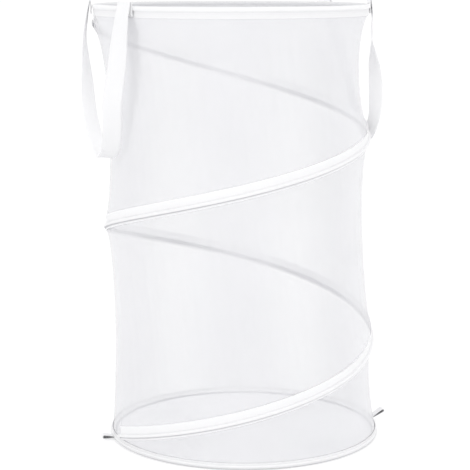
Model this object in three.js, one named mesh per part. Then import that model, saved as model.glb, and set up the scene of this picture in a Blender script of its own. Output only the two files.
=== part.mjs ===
// A pop up laundry hamper: a tube of fine net held open by two spring steel hoops and by a
// spring steel spiral between them. Tape binds each wire to the net, and two webbing loops
// hang outside the rim as handles. Millimetres, +Z up, origin under the middle of the floor.
// The handles are at +X and -X. The spiral leaves the top hoop at -X and reaches the bottom
// hoop at -X two turns further down.

import * as THREE from 'three';
import { mergeVertices } from 'three/addons/utils/BufferGeometryUtils.js';

// Whole hamper. The cloth tube leans: its rim stands this far out of line with its floor.
const hamperHeight = 610;
const hamperDiameter = 385;
const rimLeanX = -16.9;
const rimLeanY = 7.9;

// Cloth, and the clearance kept wherever two pieces are sewn or lie together
const netThickness = 0.6;
const tapeThickness = 0.6;
const floorThickness = 0.8;
const seatGap = 0.35;

// Spring wires, their crimped ferrules and their end tips
const wireRadius = 1.4;
const ferruleRadius = 2.2;
const ferruleBoreRadius = 1.72;
const ferruleLength = 12;
const wireEndGap = 0.4;
const tipLength = 6;

// Bindings
const channelInnerRadius = 2.7;
const topBindingHeight = 15;
const bottomBindingHeight = 9;

// Spiral
const spiralPitch = 293.3;
const spiralStartDepth = 10;
const archInnerRadius = 1.82;
const archFoot = 0.5;
const upperFlange = 14;
const lowerFlange = 6;
const bandMargin = 1.5;
const spiralWaist = 3.7;
const hoopReach = 60;

// How far the net is drawn in between the wires, at the floor and at the rim
const lowSag = 4.5;
const highSag = 14;
const fullSagSpan = 160;
const rowSnap = 2;

// Floor
const hemHeight = 2.8;

// Handles
const webbingWidth = 25;
const webbingThickness = 1.4;
const tabHeight = 18;
const tabRise = 4.7;
const hingeGap = 0.25;
const hingeLift = 0.3;
const handleDrop = 203;
const handleBow = 20;
const tackWidth = 19;
const tackHeight = 2.4;
const tackThickness = 0.5;
const tackLift = 3;

// Closure ties
const leftTieLength = 16;
const rightTieLength = 22;
const tieWidth = 12;
const tieThickness = 0.8;
const tieHeight = 5.2;
const tieMouth = 0.6;

// Angles, counts and shares
const turn = 2 * Math.PI;
const degree = turn / 360;
const columns = 48;
const columnAngle = turn / columns;
const wireSides = 6;
const ferruleSides = 10;
const channelSteps = 9;
const strapSteps = 44;
const handleHalfAngle = 20 * degree;
const leftTieAngle = 170 * degree;
const rightTieAngle = -12.5 * degree;
const leftTieTilt = 5 * degree;
const rightTieTilt = 30 * degree;
const sagPower = 0.7;
const smallestArea = 1e-6;

// Rows of the net between one turn's tape and the next, as shares of that free height
const netRowShares = [0.08, 0.25, 0.5, 0.75, 0.92];

// Where the spiral strays from an even one: degrees turned, skew of the swell, and rise
const spiralStrays = [
  { from: 55, to: 232, skew: 1.2, rise: -9 },
  { from: 232, to: 600, skew: 0.8, rise: 9.6 },
];

// Each handle from its first end to its second: places along half the chord between the
// ends, outward bow, drop below the rim, and turn in degrees out of the wall's plane
const leftStrap = [
  [1, 0.16, 0.07, -3], [0.98, 0.3, 0.22, -16], [0.94, 0.38, 0.38, -30],
  [0.86, 0.43, 0.52, -42], [0.77, 0.4, 0.65, -54], [0.62, 0.12, 0.82, -69],
  [0.42, -0.08, 0.95, -80], [0.15, -0.12, 1, -85], [-0.1, -0.1, 0.95, -80],
  [-0.44, 0.04, 0.83, -70], [-0.84, 0.16, 0.67, -56], [-0.97, 0.22, 0.52, -40],
  [-1, 0.29, 0.38, -24], [-1, 0.34, 0.22, -10], [-1, 0.16, 0.07, -3],
];
const rightStrap = [
  [-1, 0.16, 0.07, 4], [-1, 0.17, 0.13, 14], [-1, 0.17, 0.19, 18], [-0.99, 0.19, 0.26, 10],
  [-0.99, 0.26, 0.33, -6], [-0.98, 0.38, 0.42, -28], [-0.97, 0.51, 0.54, -41],
  [-0.95, 0.56, 0.67, -37], [-0.88, 0.49, 0.79, -24], [-0.7, 0.38, 0.88, -13],
  [-0.45, 0.34, 0.91, -8], [-0.18, 0.34, 0.87, -8], [0.06, 0.36, 0.77, -8],
  [0.26, 0.38, 0.65, -9], [0.45, 0.38, 0.51, -9], [0.64, 0.32, 0.34, -6],
  [0.82, 0.24, 0.18, -3], [0.95, 0.17, 0.07, 0],
];

// Sizes that follow
const plyInner = netThickness / 2 + seatGap;
const plyOuter = plyInner + tapeThickness;
const channelOuterRadius = channelInnerRadius + tapeThickness;
const hoopRadius = hamperDiameter / 2 - channelOuterRadius;
const channelHalfOpening = Math.asin(plyOuter / channelOuterRadius);
const channelHalfStep = (turn / 2 - channelHalfOpening) / channelSteps;
const channelReach = channelOuterRadius * Math.cos(channelHalfStep);
const topHoopHeight = hamperHeight - channelReach;
const bottomHoopHeight = channelReach;
const topLip = hamperHeight - topBindingHeight;
const bottomLip = bottomBindingHeight;
const netTop = topHoopHeight - ferruleRadius - seatGap;
const netBottom = bottomHoopHeight + ferruleRadius + seatGap;
const freeTop = topLip - seatGap;
const freeBottom = bottomLip + seatGap;
const archOuterRadius = archInnerRadius + tapeThickness;
const wireSeat = netThickness / 2 + seatGap + wireRadius;
const spiralStartHeight = hamperHeight - spiralStartDepth;
const columnDrop = spiralPitch / columns;
const bandTop = upperFlange + bandMargin;
const bandBottom = lowerFlange + bandMargin;
const firstStation = Math.ceil((spiralStartHeight + archOuterRadius - freeTop) / columnDrop);
const lastStation = Math.floor((spiralStartHeight - archOuterRadius - freeBottom) / columnDrop);
const tabRadius = hamperDiameter / 2 + seatGap + webbingThickness / 2;
const tabTop = hamperHeight + tabRise;
const tabAcross = tabRadius * Math.cos(handleHalfAngle);
const halfChord = tabRadius * Math.sin(handleHalfAngle);
const hingeAcross = tabAcross + webbingThickness / 2 + hingeGap;
const strapAcross = 2 * hingeAcross - tabAcross;
const strapRadius = Math.hypot(strapAcross, halfChord);

const whiteNet = { color: 0xf1f1f4, roughness: 0.85, metalness: 0 };
const whiteTape = { color: 0xfbfbfd, roughness: 0.7, metalness: 0 };
const whiteWebbing = { color: 0xf9f9fb, roughness: 0.65, metalness: 0 };
const springSteel = { color: 0xb9bcc0, roughness: 0.35, metalness: 1 };
const whitePlastic = { color: 0xf0f0f0, roughness: 0.45, metalness: 0 };
const whiteThread = { color: 0xffffff, roughness: 0.6, metalness: 0 };

const hamper = new THREE.Group();

// Signed volume of a closed geometry: negative where its faces point inwards
function volumeOf(geometry) {
  const place = geometry.attributes.position;
  const index = geometry.index;
  const [a, b, c] = [new THREE.Vector3(), new THREE.Vector3(), new THREE.Vector3()];
  let volume = 0;
  for (let i = 0; i < index.count; i += 3) {
    a.fromBufferAttribute(place, index.getX(i));
    b.fromBufferAttribute(place, index.getX(i + 1));
    c.fromBufferAttribute(place, index.getX(i + 2));
    volume += a.dot(b.cross(c)) / 6;
  }
  return volume;
}

// Welds a geometry's corners, drops faces that have no area and turns its faces outwards
function closed(geometry) {
  geometry.deleteAttribute('normal');
  geometry.deleteAttribute('uv');
  const welded = mergeVertices(geometry, 1e-4);
  const place = welded.attributes.position;
  const [a, b, c] = [new THREE.Vector3(), new THREE.Vector3(), new THREE.Vector3()];
  const kept = [];
  for (let i = 0; i < welded.index.count; i += 3) {
    const corners = [0, 1, 2].map((k) => welded.index.getX(i + k));
    a.fromBufferAttribute(place, corners[0]);
    b.fromBufferAttribute(place, corners[1]).sub(a);
    c.fromBufferAttribute(place, corners[2]).sub(a);
    if (b.cross(c).length() > smallestArea) kept.push(corners);
  }
  welded.setIndex(kept.flat());
  if (volumeOf(welded) < 0) {
    welded.setIndex(kept.map(([p, q, r]) => [p, r, q]).flat());
  }
  welded.computeVertexNormals();
  return welded;
}

// Adds one named piece to the hamper
function addPiece(name, geometry, finish) {
  const piece = new THREE.Mesh(geometry, new THREE.MeshStandardMaterial(finish));
  piece.name = name;
  hamper.add(piece);
  return piece;
}

// A solid from a row of rings with equal numbers of points: ends capped, or joined in a loop.
// section is the flat outline that the caps are cut from.
function sweptSolid(rings, section, looped) {
  const count = section.length;
  const corners = rings.flat().flatMap((p) => [p.x, p.y, p.z]);
  const faces = [];
  const last = looped ? rings.length : rings.length - 1;
  for (let i = 0; i < last; i += 1) {
    const [here, next] = [i * count, ((i + 1) % rings.length) * count];
    for (let k = 0; k < count; k += 1) {
      const side = (k + 1) % count;
      faces.push(here + k, next + k, next + side, here + k, next + side, here + side);
    }
  }
  if (!looped) {
    const end = (rings.length - 1) * count;
    for (const [p, q, r] of THREE.ShapeUtils.triangulateShape(section, [])) {
      if (THREE.ShapeUtils.isClockWise(section)) faces.push(p, r, q, end + p, end + q, end + r);
      else faces.push(p, q, r, end + p, end + r, end + q);
    }
  }
  const geometry = new THREE.BufferGeometry();
  geometry.setAttribute('position', new THREE.Float32BufferAttribute(corners, 3));
  geometry.setIndex(faces);
  return closed(geometry);
}

// Leans a piece of the tube with it: sideways in step with its height
function leaning(geometry) {
  const [alongX, alongY] = [rimLeanX / hamperHeight, rimLeanY / hamperHeight];
  return geometry.applyMatrix4(new THREE.Matrix4().makeShear(0, 0, 0, 0, alongX, alongY));
}

// Moves a piece that hangs upright from the rim with the rim
function hanging(geometry) {
  const rise = (tabTop + hingeLift) / hamperHeight;
  return geometry.translate(rimLeanX * rise, rimLeanY * rise, 0);
}

// A point at an angle round the hamper, a radius and a height
function around(angle, radius, height) {
  return new THREE.Vector3(radius * Math.cos(angle), radius * Math.sin(angle), height);
}

// A closed (radius, height) outline turned about the hamper's axis
function turned(outline) {
  const points = [...outline, outline[0]];
  const geometry = new THREE.LatheGeometry(points, columns);
  return closed(geometry.rotateX(turn / 4));
}

// Points on an arc about a centre
function arcPoints(centre, radius, from, to, steps) {
  return Array.from({ length: steps + 1 }, (_, i) => {
    const angle = from + ((to - from) * i) / steps;
    return new THREE.Vector2(
      centre.x + radius * Math.cos(angle), centre.y + radius * Math.sin(angle));
  });
}

// The section of a round wire
function wireSection() {
  const points = arcPoints(new THREE.Vector2(0, 0), wireRadius, 0, turn, wireSides);
  return points.slice(0, wireSides);
}

// Outline of a binding: tape folded round a hoop, its two plies running to a lip.
// facing is 1 where the lip is below the hoop and -1 where it is above.
function bindingOutline(hoopHeight, lip, facing) {
  const centre = new THREE.Vector2(hoopRadius, 0);
  const flip = (p) => new THREE.Vector2(p.x, hoopHeight + facing * p.y);
  const lipDepth = facing * (lip - hoopHeight);
  const arc = (radius, ply) => {
    const opening = Math.asin(ply / radius);
    return arcPoints(centre, radius, opening - turn / 4, 3 * turn / 4 - opening, channelSteps);
  };
  const outside = [
    new THREE.Vector2(hoopRadius + plyOuter, lipDepth),
    ...arc(channelOuterRadius, plyOuter),
    new THREE.Vector2(hoopRadius - plyOuter, lipDepth),
  ];
  const inside = [
    new THREE.Vector2(hoopRadius + plyInner, lipDepth),
    ...arc(channelInnerRadius, plyInner),
    new THREE.Vector2(hoopRadius - plyInner, lipDepth),
  ];
  return [...outside, ...inside.reverse()].map(flip);
}

// A hoop wire: one open ring whose ends meet in the middle of a facet, at +Y
function hoopWire(height) {
  const section = wireSection();
  const ringAt = (angle) => section.map((p) => around(angle, hoopRadius + p.x, height + p.y));
  const jointColumn = columns / 4;
  const before = ringAt((jointColumn - 1) * columnAngle);
  const after = ringAt(jointColumn * columnAngle);
  const chord = before[0].distanceTo(after[0]);
  const away = wireEndGap / 2 / chord;
  const between = (share) => before.map((p, k) => p.clone().lerp(after[k], share));
  const rings = [between(0.5 + away)];
  for (let i = 0; i < columns; i += 1) rings.push(ringAt((jointColumn + i) * columnAngle));
  rings.push(between(0.5 - away));
  return sweptSolid(rings, section, false);
}

// The crimped sleeve over a hoop wire's joint
function hoopFerrule(height) {
  const half = ferruleLength / 2;
  const outline = [
    new THREE.Vector2(ferruleBoreRadius, -half),
    new THREE.Vector2(ferruleRadius, -half),
    new THREE.Vector2(ferruleRadius, half),
    new THREE.Vector2(ferruleBoreRadius, half),
    new THREE.Vector2(ferruleBoreRadius, -half),
  ];
  const sleeve = new THREE.LatheGeometry(outline, ferruleSides);
  const angle = turn / 4 - columnAngle / 2;
  const centre = around(angle, hoopRadius * Math.cos(columnAngle / 2), height);
  sleeve.rotateZ(angle);
  return closed(sleeve.translate(centre.x, centre.y, centre.z));
}

// Height of the spiral after so many columns, and its angle round the hamper
function strandHeight(station) {
  const turnedDegrees = (station * columnAngle) / degree;
  const strays = spiralStrays.map(({ from, to, skew, rise }) => {
    const share = THREE.MathUtils.clamp((turnedDegrees - from) / (to - from), 0, 1);
    return rise * Math.sin(Math.PI * share ** skew);
  });
  return strays.reduce((sum, stray) => sum + stray, spiralStartHeight - station * columnDrop);
}

function strandAngle(station) {
  return turn / 2 - station * columnAngle;
}

// Radius of the net's middle under the spiral: as wide as the hoops where it nears them
function strandNetRadius(height) {
  const away = Math.min(topLip - height, height - bottomLip) - bandTop;
  const share = THREE.MathUtils.smoothstep(away, 0, hoopReach);
  return hoopRadius - spiralWaist * share;
}

// The levels that hold the net out at one column: both lips and each turn of the spiral there
function heldBands(station) {
  const bands = [{ low: netBottom, high: freeBottom, radius: hoopRadius }];
  for (let s = station + columns * 3; s >= station; s -= columns) {
    if (s < firstStation || s > lastStation) continue;
    const height = strandHeight(s);
    const low = Math.max(height - bandBottom, freeBottom);
    const high = Math.min(height + bandTop, freeTop);
    bands.push({ low, high, radius: strandNetRadius(height) });
  }
  bands.push({ low: freeTop, high: netTop, radius: hoopRadius });
  return bands;
}

// Radius of the net's middle at a column and height, drawn in between the bands
function netRadius(station, height) {
  const bands = heldBands(station);
  const inBand = bands.find((b) => height >= b.low && height <= b.high);
  if (inBand) return inBand.radius;
  const above = bands.findIndex((b) => b.low > height);
  const [low, high] = [bands[above - 1], bands[above]];
  const span = high.low - low.high;
  const share = (height - low.high) / span;
  const depth = lowSag + (highSag - lowSag) * (height / hamperHeight);
  const sag = depth * Math.min(1, span / fullSagSpan) * (4 * share * (1 - share)) ** sagPower;
  return low.radius + (high.radius - low.radius) * share - sag;
}

// Heights of the net's rows at a column. The rows run with the spiral and stop at the lips.
function netRows(station) {
  const rows = [netBottom];
  for (let lap = -4; lap < 2; lap += 1) {
    const strand = strandHeight(station - lap * columns);
    const free = strandHeight(station - (lap + 1) * columns) - strand - bandTop - bandBottom;
    const offsets = [-bandBottom, 0, bandTop, ...netRowShares.map((s) => bandTop + s * free)];
    for (const offset of offsets) {
      const height = strand + offset;
      if (height > freeTop - rowSnap) rows.push(freeTop);
      else rows.push(height < freeBottom + rowSnap ? freeBottom : height);
    }
  }
  rows.push(netTop);
  return rows;
}

// The net wall: a thin closed tube, open at top and bottom
function netWall() {
  const half = netThickness / 2;
  const corners = [];
  const faces = [];
  let height = 0;
  for (let station = 0; station <= columns; station += 1) {
    const rows = netRows(station);
    height = rows.length;
    for (const z of rows) {
      const radius = netRadius(station, z);
      const angle = strandAngle(station);
      const [out, inside] = [around(angle, radius + half, z), around(angle, radius - half, z)];
      corners.push(out.x, out.y, out.z, inside.x, inside.y, inside.z);
    }
  }
  const at = (station, row, face) => 2 * (station * height + row) + face;
  const quad = (a, b, c, d) => faces.push(a, b, c, a, c, d);
  for (let s = 0; s < columns; s += 1) {
    for (let r = 0; r + 1 < height; r += 1) {
      quad(at(s, r, 0), at(s, r + 1, 0), at(s + 1, r + 1, 0), at(s + 1, r, 0));
      quad(at(s, r, 1), at(s + 1, r, 1), at(s + 1, r + 1, 1), at(s, r + 1, 1));
    }
    quad(at(s, 0, 0), at(s + 1, 0, 0), at(s + 1, 0, 1), at(s, 0, 1));
    const top = height - 1;
    quad(at(s, top, 0), at(s, top, 1), at(s + 1, top, 1), at(s + 1, top, 0));
  }
  const geometry = new THREE.BufferGeometry();
  geometry.setAttribute('position', new THREE.Float32BufferAttribute(corners, 3));
  geometry.setIndex(faces);
  return closed(geometry);
}

// Section rings of the spiral wire or its tape, at one station
function strandRing(station, section) {
  const height = strandHeight(station);
  const radius = strandNetRadius(height);
  return section.map((p) => {
    const z = THREE.MathUtils.clamp(height + p.y, freeBottom, freeTop);
    return around(strandAngle(station), radius + p.x, z);
  });
}

// The ring a little past the end of the wire's last whole segment, in line with it
function beyondRing(station, nextStation, section, length) {
  const [ring, next] = [strandRing(station, section), strandRing(nextStation, section)];
  const step = next[0].clone().sub(ring[0]).setLength(length);
  return ring.map((p) => p.clone().sub(step));
}

// The spiral wire, one unbroken tube of two turns
function spiralWire() {
  const section = wireSection().map((p) => new THREE.Vector2(p.x + wireSeat, p.y));
  const rings = [beyondRing(firstStation, firstStation + 1, section, 2 * wireRadius)];
  for (let s = firstStation; s <= lastStation; s += 1) rings.push(strandRing(s, section));
  rings.push(beyondRing(lastStation, lastStation - 1, section, 2 * wireRadius));
  return sweptSolid(rings, section, false);
}

// Least gap between one turn of the spiral wire and the next
function leastGapOfSpiral() {
  const middle = [new THREE.Vector2(wireSeat, 0)];
  const points = [];
  for (let s = firstStation; s <= lastStation; s += 1) points.push(strandRing(s, middle)[0]);
  let least = Infinity;
  for (let i = 0; i < points.length; i += 1) {
    for (let k = i + columns / 2; k < points.length; k += 1) {
      least = Math.min(least, points[i].distanceTo(points[k]));
    }
  }
  return least - 2 * wireRadius;
}

// The tape over the spiral wire: a wide flange above it, an arch round it, a narrow one below
function spiralTape() {
  const near = netThickness / 2 + seatGap;
  const far = near + tapeThickness;
  const centre = new THREE.Vector2(wireSeat, 0);
  const bend = turn / 6;
  const section = [
    new THREE.Vector2(near, upperFlange),
    new THREE.Vector2(far, upperFlange),
    new THREE.Vector2(far, archOuterRadius + archFoot),
    ...arcPoints(centre, archOuterRadius, bend, -bend, 3),
    new THREE.Vector2(far, -archOuterRadius - archFoot),
    new THREE.Vector2(far, -lowerFlange),
    new THREE.Vector2(near, -lowerFlange),
    new THREE.Vector2(near, -archInnerRadius - archFoot),
    ...arcPoints(centre, archInnerRadius, -bend, bend, 3),
    new THREE.Vector2(near, archInnerRadius + archFoot),
  ];
  const rings = [];
  for (let s = firstStation; s <= lastStation; s += 1) rings.push(strandRing(s, section));
  return sweptSolid(rings, section, false);
}

// A rounded tip that follows the spiral wire's end at a seat gap
function wireTip(station, nextStation) {
  const middle = [new THREE.Vector2(wireSeat, 0)];
  const end = beyondRing(station, nextStation, middle, 2 * wireRadius + seatGap)[0];
  const way = end.clone().sub(strandRing(station, middle)[0]).normalize();
  const outline = [
    new THREE.Vector2(0, 0),
    new THREE.Vector2(wireRadius, 0),
    new THREE.Vector2(wireRadius, tipLength - wireRadius),
    new THREE.Vector2(wireRadius * 0.7, tipLength - wireRadius * 0.3),
    new THREE.Vector2(0, tipLength),
  ];
  const tip = new THREE.LatheGeometry(outline, ferruleSides);
  const up = new THREE.Vector3(0, 1, 0);
  tip.applyQuaternion(new THREE.Quaternion().setFromUnitVectors(up, way));
  return closed(tip.translate(end.x, end.y, end.z));
}

// The floor: a disc with a low turned-up hem against the bottom binding
function floorPanel() {
  const radius = hoopRadius - channelOuterRadius - seatGap;
  return turned([
    new THREE.Vector2(0, 0),
    new THREE.Vector2(radius, 0),
    new THREE.Vector2(radius, hemHeight),
    new THREE.Vector2(radius - floorThickness, hemHeight),
    new THREE.Vector2(radius - floorThickness, floorThickness),
    new THREE.Vector2(0, floorThickness),
  ]);
}

// A flat piece sewn to the rim beside a handle's hinge, its middle at a radius and height
function rimPatch(side, end, radius, height, thick, wide, tall) {
  const patch = new THREE.BoxGeometry(thick, wide, tall);
  const angle = (side < 0 ? turn / 2 : 0) + end * handleHalfAngle;
  const centre = around(angle, radius, height);
  patch.rotateZ(angle);
  return closed(patch.translate(centre.x, centre.y, centre.z));
}

// The end of the webbing, sewn upright on the outside of the top binding
function handleTab(side, end) {
  const height = tabTop - tabHeight / 2;
  return rimPatch(side, end, tabRadius, height, webbingThickness, webbingWidth, tabHeight);
}

// The bar tack across the foot of a webbing end
function handleTack(side, end) {
  const radius = tabRadius + webbingThickness / 2 + seatGap + tackThickness / 2;
  const height = tabTop - tabHeight + tackLift;
  return rimPatch(side, end, radius, height, tackThickness, tackWidth, tackHeight);
}

// Middle line of a handle's loop. Its ends hang from the hinge line beside the sewn tabs.
function strapPath(strap) {
  const place = ([along, bow, drop]) => {
    const radius = strapRadius + bow * handleBow;
    const sideways = along * halfChord;
    const out = Math.sqrt(radius ** 2 - sideways ** 2);
    return new THREE.Vector3(out, sideways, hamperHeight - drop * handleDrop);
  };
  const first = new THREE.Vector3(strapAcross, Math.sign(strap[0][0]) * halfChord, tabTop);
  const second = first.clone().setY(-first.y);
  return new THREE.CatmullRomCurve3([first, ...strap.map(place), second], false, 'centripetal');
}

// Turn of a handle's webbing at a share of its length, between those of its two nearest places
function strapTurn(strap, path, share) {
  const turns = [0, ...strap.map((place) => place[3]), 0];
  const place = path.getUtoTmapping(share) * (turns.length - 1);
  const before = Math.min(Math.floor(place), turns.length - 2);
  return THREE.MathUtils.lerp(turns[before], turns[before + 1], place - before) * degree;
}

// A handle's loop of webbing. It hangs flat against the rim at its ends, and turns out of
// the wall's plane on its way down and round.
function handleLoop(side, strap) {
  const path = strapPath(strap);
  const [wide, thick] = [webbingWidth / 2, webbingThickness / 2];
  const section = [[-wide, -thick], [wide, -thick], [wide, thick], [-wide, thick]];
  const outline = section.map(([x, y]) => new THREE.Vector2(x, y));
  const rings = [];
  for (let i = 0; i <= strapSteps; i += 1) {
    const point = path.getPointAt(i / strapSteps);
    const along = endsUpright(i, path.getTangentAt(i / strapSteps));
    const out = new THREE.Vector3(point.x, point.y, 0).normalize();
    const flat = out.clone().cross(along).normalize();
    const turnAngle = strapTurn(strap, path, i / strapSteps);
    const across = flat.multiplyScalar(Math.cos(turnAngle));
    across.addScaledVector(out, Math.sin(turnAngle));
    across.addScaledVector(along, -across.dot(along)).normalize();
    const face = along.clone().cross(across);
    rings.push(section.map(([x, y]) =>
      point.clone().addScaledVector(across, x).addScaledVector(face, y)));
  }
  const loop = sweptSolid(rings, outline, false);
  return side < 0 ? loop.rotateZ(turn / 2) : loop;
}

// The webbing leaves its hinge line straight down
function endsUpright(step, tangent) {
  if (step === 0) return new THREE.Vector3(0, 0, -1);
  return step === strapSteps ? new THREE.Vector3(0, 0, 1) : tangent;
}

// A closure tie: ribbon folded into a small loop that stands out from the bottom binding
function closureTie(length, angle, tilt) {
  const half = tieHeight / 2;
  const mouth = tieMouth / 2;
  const neck = length - half;
  const centre = new THREE.Vector2(neck, 0);
  const outline = [
    new THREE.Vector2(0, -mouth - tieThickness),
    ...arcPoints(centre, half, -turn / 4, turn / 4, 6),
    new THREE.Vector2(0, mouth + tieThickness),
    new THREE.Vector2(0, mouth),
    ...arcPoints(centre, half - tieThickness, turn / 4, -turn / 4, 6),
    new THREE.Vector2(0, -mouth),
  ];
  const settings = { depth: tieWidth, bevelEnabled: false, curveSegments: 1 };
  const loop = new THREE.ExtrudeGeometry(new THREE.Shape(outline), settings);
  loop.translate(channelOuterRadius + seatGap, 0, -tieWidth / 2).rotateZ(tilt);
  loop.rotateX(turn / 4).rotateZ(angle);
  const hoop = around(angle, hoopRadius, bottomHoopHeight);
  return closed(loop.translate(hoop.x, hoop.y, hoop.z));
}

const topBinding = bindingOutline(topHoopHeight, topLip, 1);
const bottomBinding = bindingOutline(bottomHoopHeight, bottomLip, -1);
const leftLoop = handleLoop(-1, leftStrap);
const rightLoop = handleLoop(1, rightStrap);
const leftTie = closureTie(leftTieLength, leftTieAngle, leftTieTilt);
const rightTie = closureTie(rightTieLength, rightTieAngle, rightTieTilt);

addPiece('top_hoop_wire', leaning(hoopWire(topHoopHeight)), springSteel);
addPiece('top_hoop_ferrule', leaning(hoopFerrule(topHoopHeight)), springSteel);
addPiece('top_binding', leaning(turned(topBinding)), whiteTape);
addPiece('bottom_hoop_wire', leaning(hoopWire(bottomHoopHeight)), springSteel);
addPiece('bottom_hoop_ferrule', leaning(hoopFerrule(bottomHoopHeight)), springSteel);
addPiece('bottom_binding', leaning(turned(bottomBinding)), whiteTape);
addPiece('floor_panel', leaning(floorPanel()), whiteNet);
addPiece('mesh_wall', leaning(netWall()), whiteNet);
addPiece('spiral_wire', leaning(spiralWire()), springSteel);
addPiece('spiral_binding', leaning(spiralTape()), whiteTape);
addPiece('spiral_top_tip', leaning(wireTip(firstStation, firstStation + 1)), whitePlastic);
addPiece('spiral_bottom_tip', leaning(wireTip(lastStation, lastStation - 1)), whitePlastic);
addPiece('left_handle_loop', hanging(leftLoop), whiteWebbing);
addPiece('right_handle_loop', hanging(rightLoop), whiteWebbing);
addPiece('left_handle_front_tab', leaning(handleTab(-1, 1)), whiteWebbing);
addPiece('left_handle_rear_tab', leaning(handleTab(-1, -1)), whiteWebbing);
addPiece('right_handle_front_tab', leaning(handleTab(1, -1)), whiteWebbing);
addPiece('right_handle_rear_tab', leaning(handleTab(1, 1)), whiteWebbing);
addPiece('left_handle_front_tack', leaning(handleTack(-1, 1)), whiteThread);
addPiece('left_handle_rear_tack', leaning(handleTack(-1, -1)), whiteThread);
addPiece('right_handle_front_tack', leaning(handleTack(1, -1)), whiteThread);
addPiece('right_handle_rear_tack', leaning(handleTack(1, 1)), whiteThread);
addPiece('left_closure_tie', leaning(leftTie), whiteTape);
addPiece('right_closure_tie', leaning(rightTie), whiteTape);

console.log(`least gap between turns of the spiral wire: ${leastGapOfSpiral().toFixed(1)} mm`);

export default hamper;
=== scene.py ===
"""Looks of a pop up laundry hamper: fine net on two sprung hoops and a spiral wire.

Sizes in this script are millimetres and angles are radians, where a name or comment doesn't
say otherwise, and make_piece turns the sizes into metres. +Z is up, and the handles are at
+X and -X.
"""

import math

import bpy
import numpy as np
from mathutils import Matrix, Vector


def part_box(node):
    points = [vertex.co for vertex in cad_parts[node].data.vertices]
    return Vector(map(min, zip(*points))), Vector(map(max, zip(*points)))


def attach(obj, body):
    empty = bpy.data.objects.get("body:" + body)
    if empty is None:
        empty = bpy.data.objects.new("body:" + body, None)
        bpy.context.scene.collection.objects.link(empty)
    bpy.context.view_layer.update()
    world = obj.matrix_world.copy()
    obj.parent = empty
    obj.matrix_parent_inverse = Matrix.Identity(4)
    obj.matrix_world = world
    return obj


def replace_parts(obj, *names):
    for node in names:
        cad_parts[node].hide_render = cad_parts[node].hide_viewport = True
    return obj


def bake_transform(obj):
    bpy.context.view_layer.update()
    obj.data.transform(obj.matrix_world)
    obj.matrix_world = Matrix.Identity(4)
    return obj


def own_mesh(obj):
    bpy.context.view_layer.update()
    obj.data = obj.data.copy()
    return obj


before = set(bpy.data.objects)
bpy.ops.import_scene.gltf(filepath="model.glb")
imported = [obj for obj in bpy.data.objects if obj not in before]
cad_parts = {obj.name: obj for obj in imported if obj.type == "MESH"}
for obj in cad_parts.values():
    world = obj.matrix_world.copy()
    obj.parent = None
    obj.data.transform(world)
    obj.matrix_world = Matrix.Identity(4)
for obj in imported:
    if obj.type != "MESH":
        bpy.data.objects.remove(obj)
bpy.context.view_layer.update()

METRE = 1000.0
TURN = 2 * math.pi

# Whole hamper
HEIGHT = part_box("top_binding")[1].z * METRE
DIAMETER = 385.0
RIM_LEAN = np.array([-16.9, 7.9])
SEAT_GAP = 0.35

# Net and bindings
NET_HALF = 0.3
TAPE_THICK = 0.6
PLY_INNER = NET_HALF + SEAT_GAP
PLY_OUTER = PLY_INNER + TAPE_THICK
CHANNEL_INNER = 2.7
CHANNEL_OUTER = CHANNEL_INNER + TAPE_THICK
HOOP_RADIUS = DIAMETER / 2 - CHANNEL_OUTER
HOOP_INSET = 3.147
TOP_HOOP = HEIGHT - HOOP_INSET
BOTTOM_HOOP = HOOP_INSET
TOP_LIP = HEIGHT - 15.0
BOTTOM_LIP = 9.0
NET_INSET = 2.55
NET_TOP = TOP_HOOP - NET_INSET
NET_BOTTOM = BOTTOM_HOOP + NET_INSET
FREE_TOP = TOP_LIP - SEAT_GAP
FREE_BOTTOM = BOTTOM_LIP + SEAT_GAP

# Spiral wire and its tape. SPIRAL_START and SPIRAL_END are degrees turned from -X
WIRE_RADIUS = 1.4
WIRE_SEAT = NET_HALF + SEAT_GAP + WIRE_RADIUS
SPIRAL_TOP = HEIGHT - 10.0
SPIRAL_PITCH = 293.3
SPIRAL_START = 15.0
SPIRAL_END = 720.0
# Turns of the spiral that may pass one place round the wall, the lowest first
SPIRAL_LAPS = (2, 1, 0)
# Where the spiral strays from an even one: degrees turned, skew of the swell, and rise
SPIRAL_STRAYS = [(55, 232, 1.2, -9.0), (232, 600, 0.8, 9.6)]
ARCH_INNER = 1.82
ARCH_OUTER = ARCH_INNER + TAPE_THICK
ARCH_FOOT = 0.5
ARCH_BEND = math.radians(78)
UPPER_FLANGE = 14.0
LOWER_FLANGE = 6.0
FLANGE_LIFT = 0.5
FLANGE_WAVES = (23, 37, 58)

# How the net is drawn in between the wires that hold it out
BAND_MARGIN = 1.5
SPIRAL_WAIST = 3.7
HOOP_REACH = 60.0
LOW_SAG = 4.5
HIGH_SAG = 14.0
FULL_SAG_SPAN = 160.0
SAG_POWER = 0.7

# Soft upright folds of the net: depth and waves a turn, how far they are set in, and their
# lean for each millimetre up
NET_FOLDS = [(0.55, (7, 12, 19)), (0.3, (31, 44, 67))]
NET_FOLD_INSET = 0.6
NET_FOLD_LEAN = 0.0006

# How much the net covers. It keeps a small share of its cover where it is sewn to tape, except
# over the wire. Its cover rises near the rim as a painted shade under the rim, and swings round
# the wall in upright streaks of painted light and shade
HELD_COVER = 0.12
HELD_RAMP = 3.0
FULLY_HELD = 0.9
WIRE_COVER = 0.95
WIRE_SPREAD = 2.6
RIM_SHADE_COVER = 0.6
RIM_SHADE_POWER = 8
SHADE_STREAK_DEPTH = 0.2
SHADE_STREAK_COUNT = 6
SHADE_STREAK_ANGLE = math.radians(217)

# Uneven lips of the hoops' tapes
LIP_WAVE = 0.3
LIP_REACH = 12.0
LIP_WAVES = (17, 29, 46)

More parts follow.
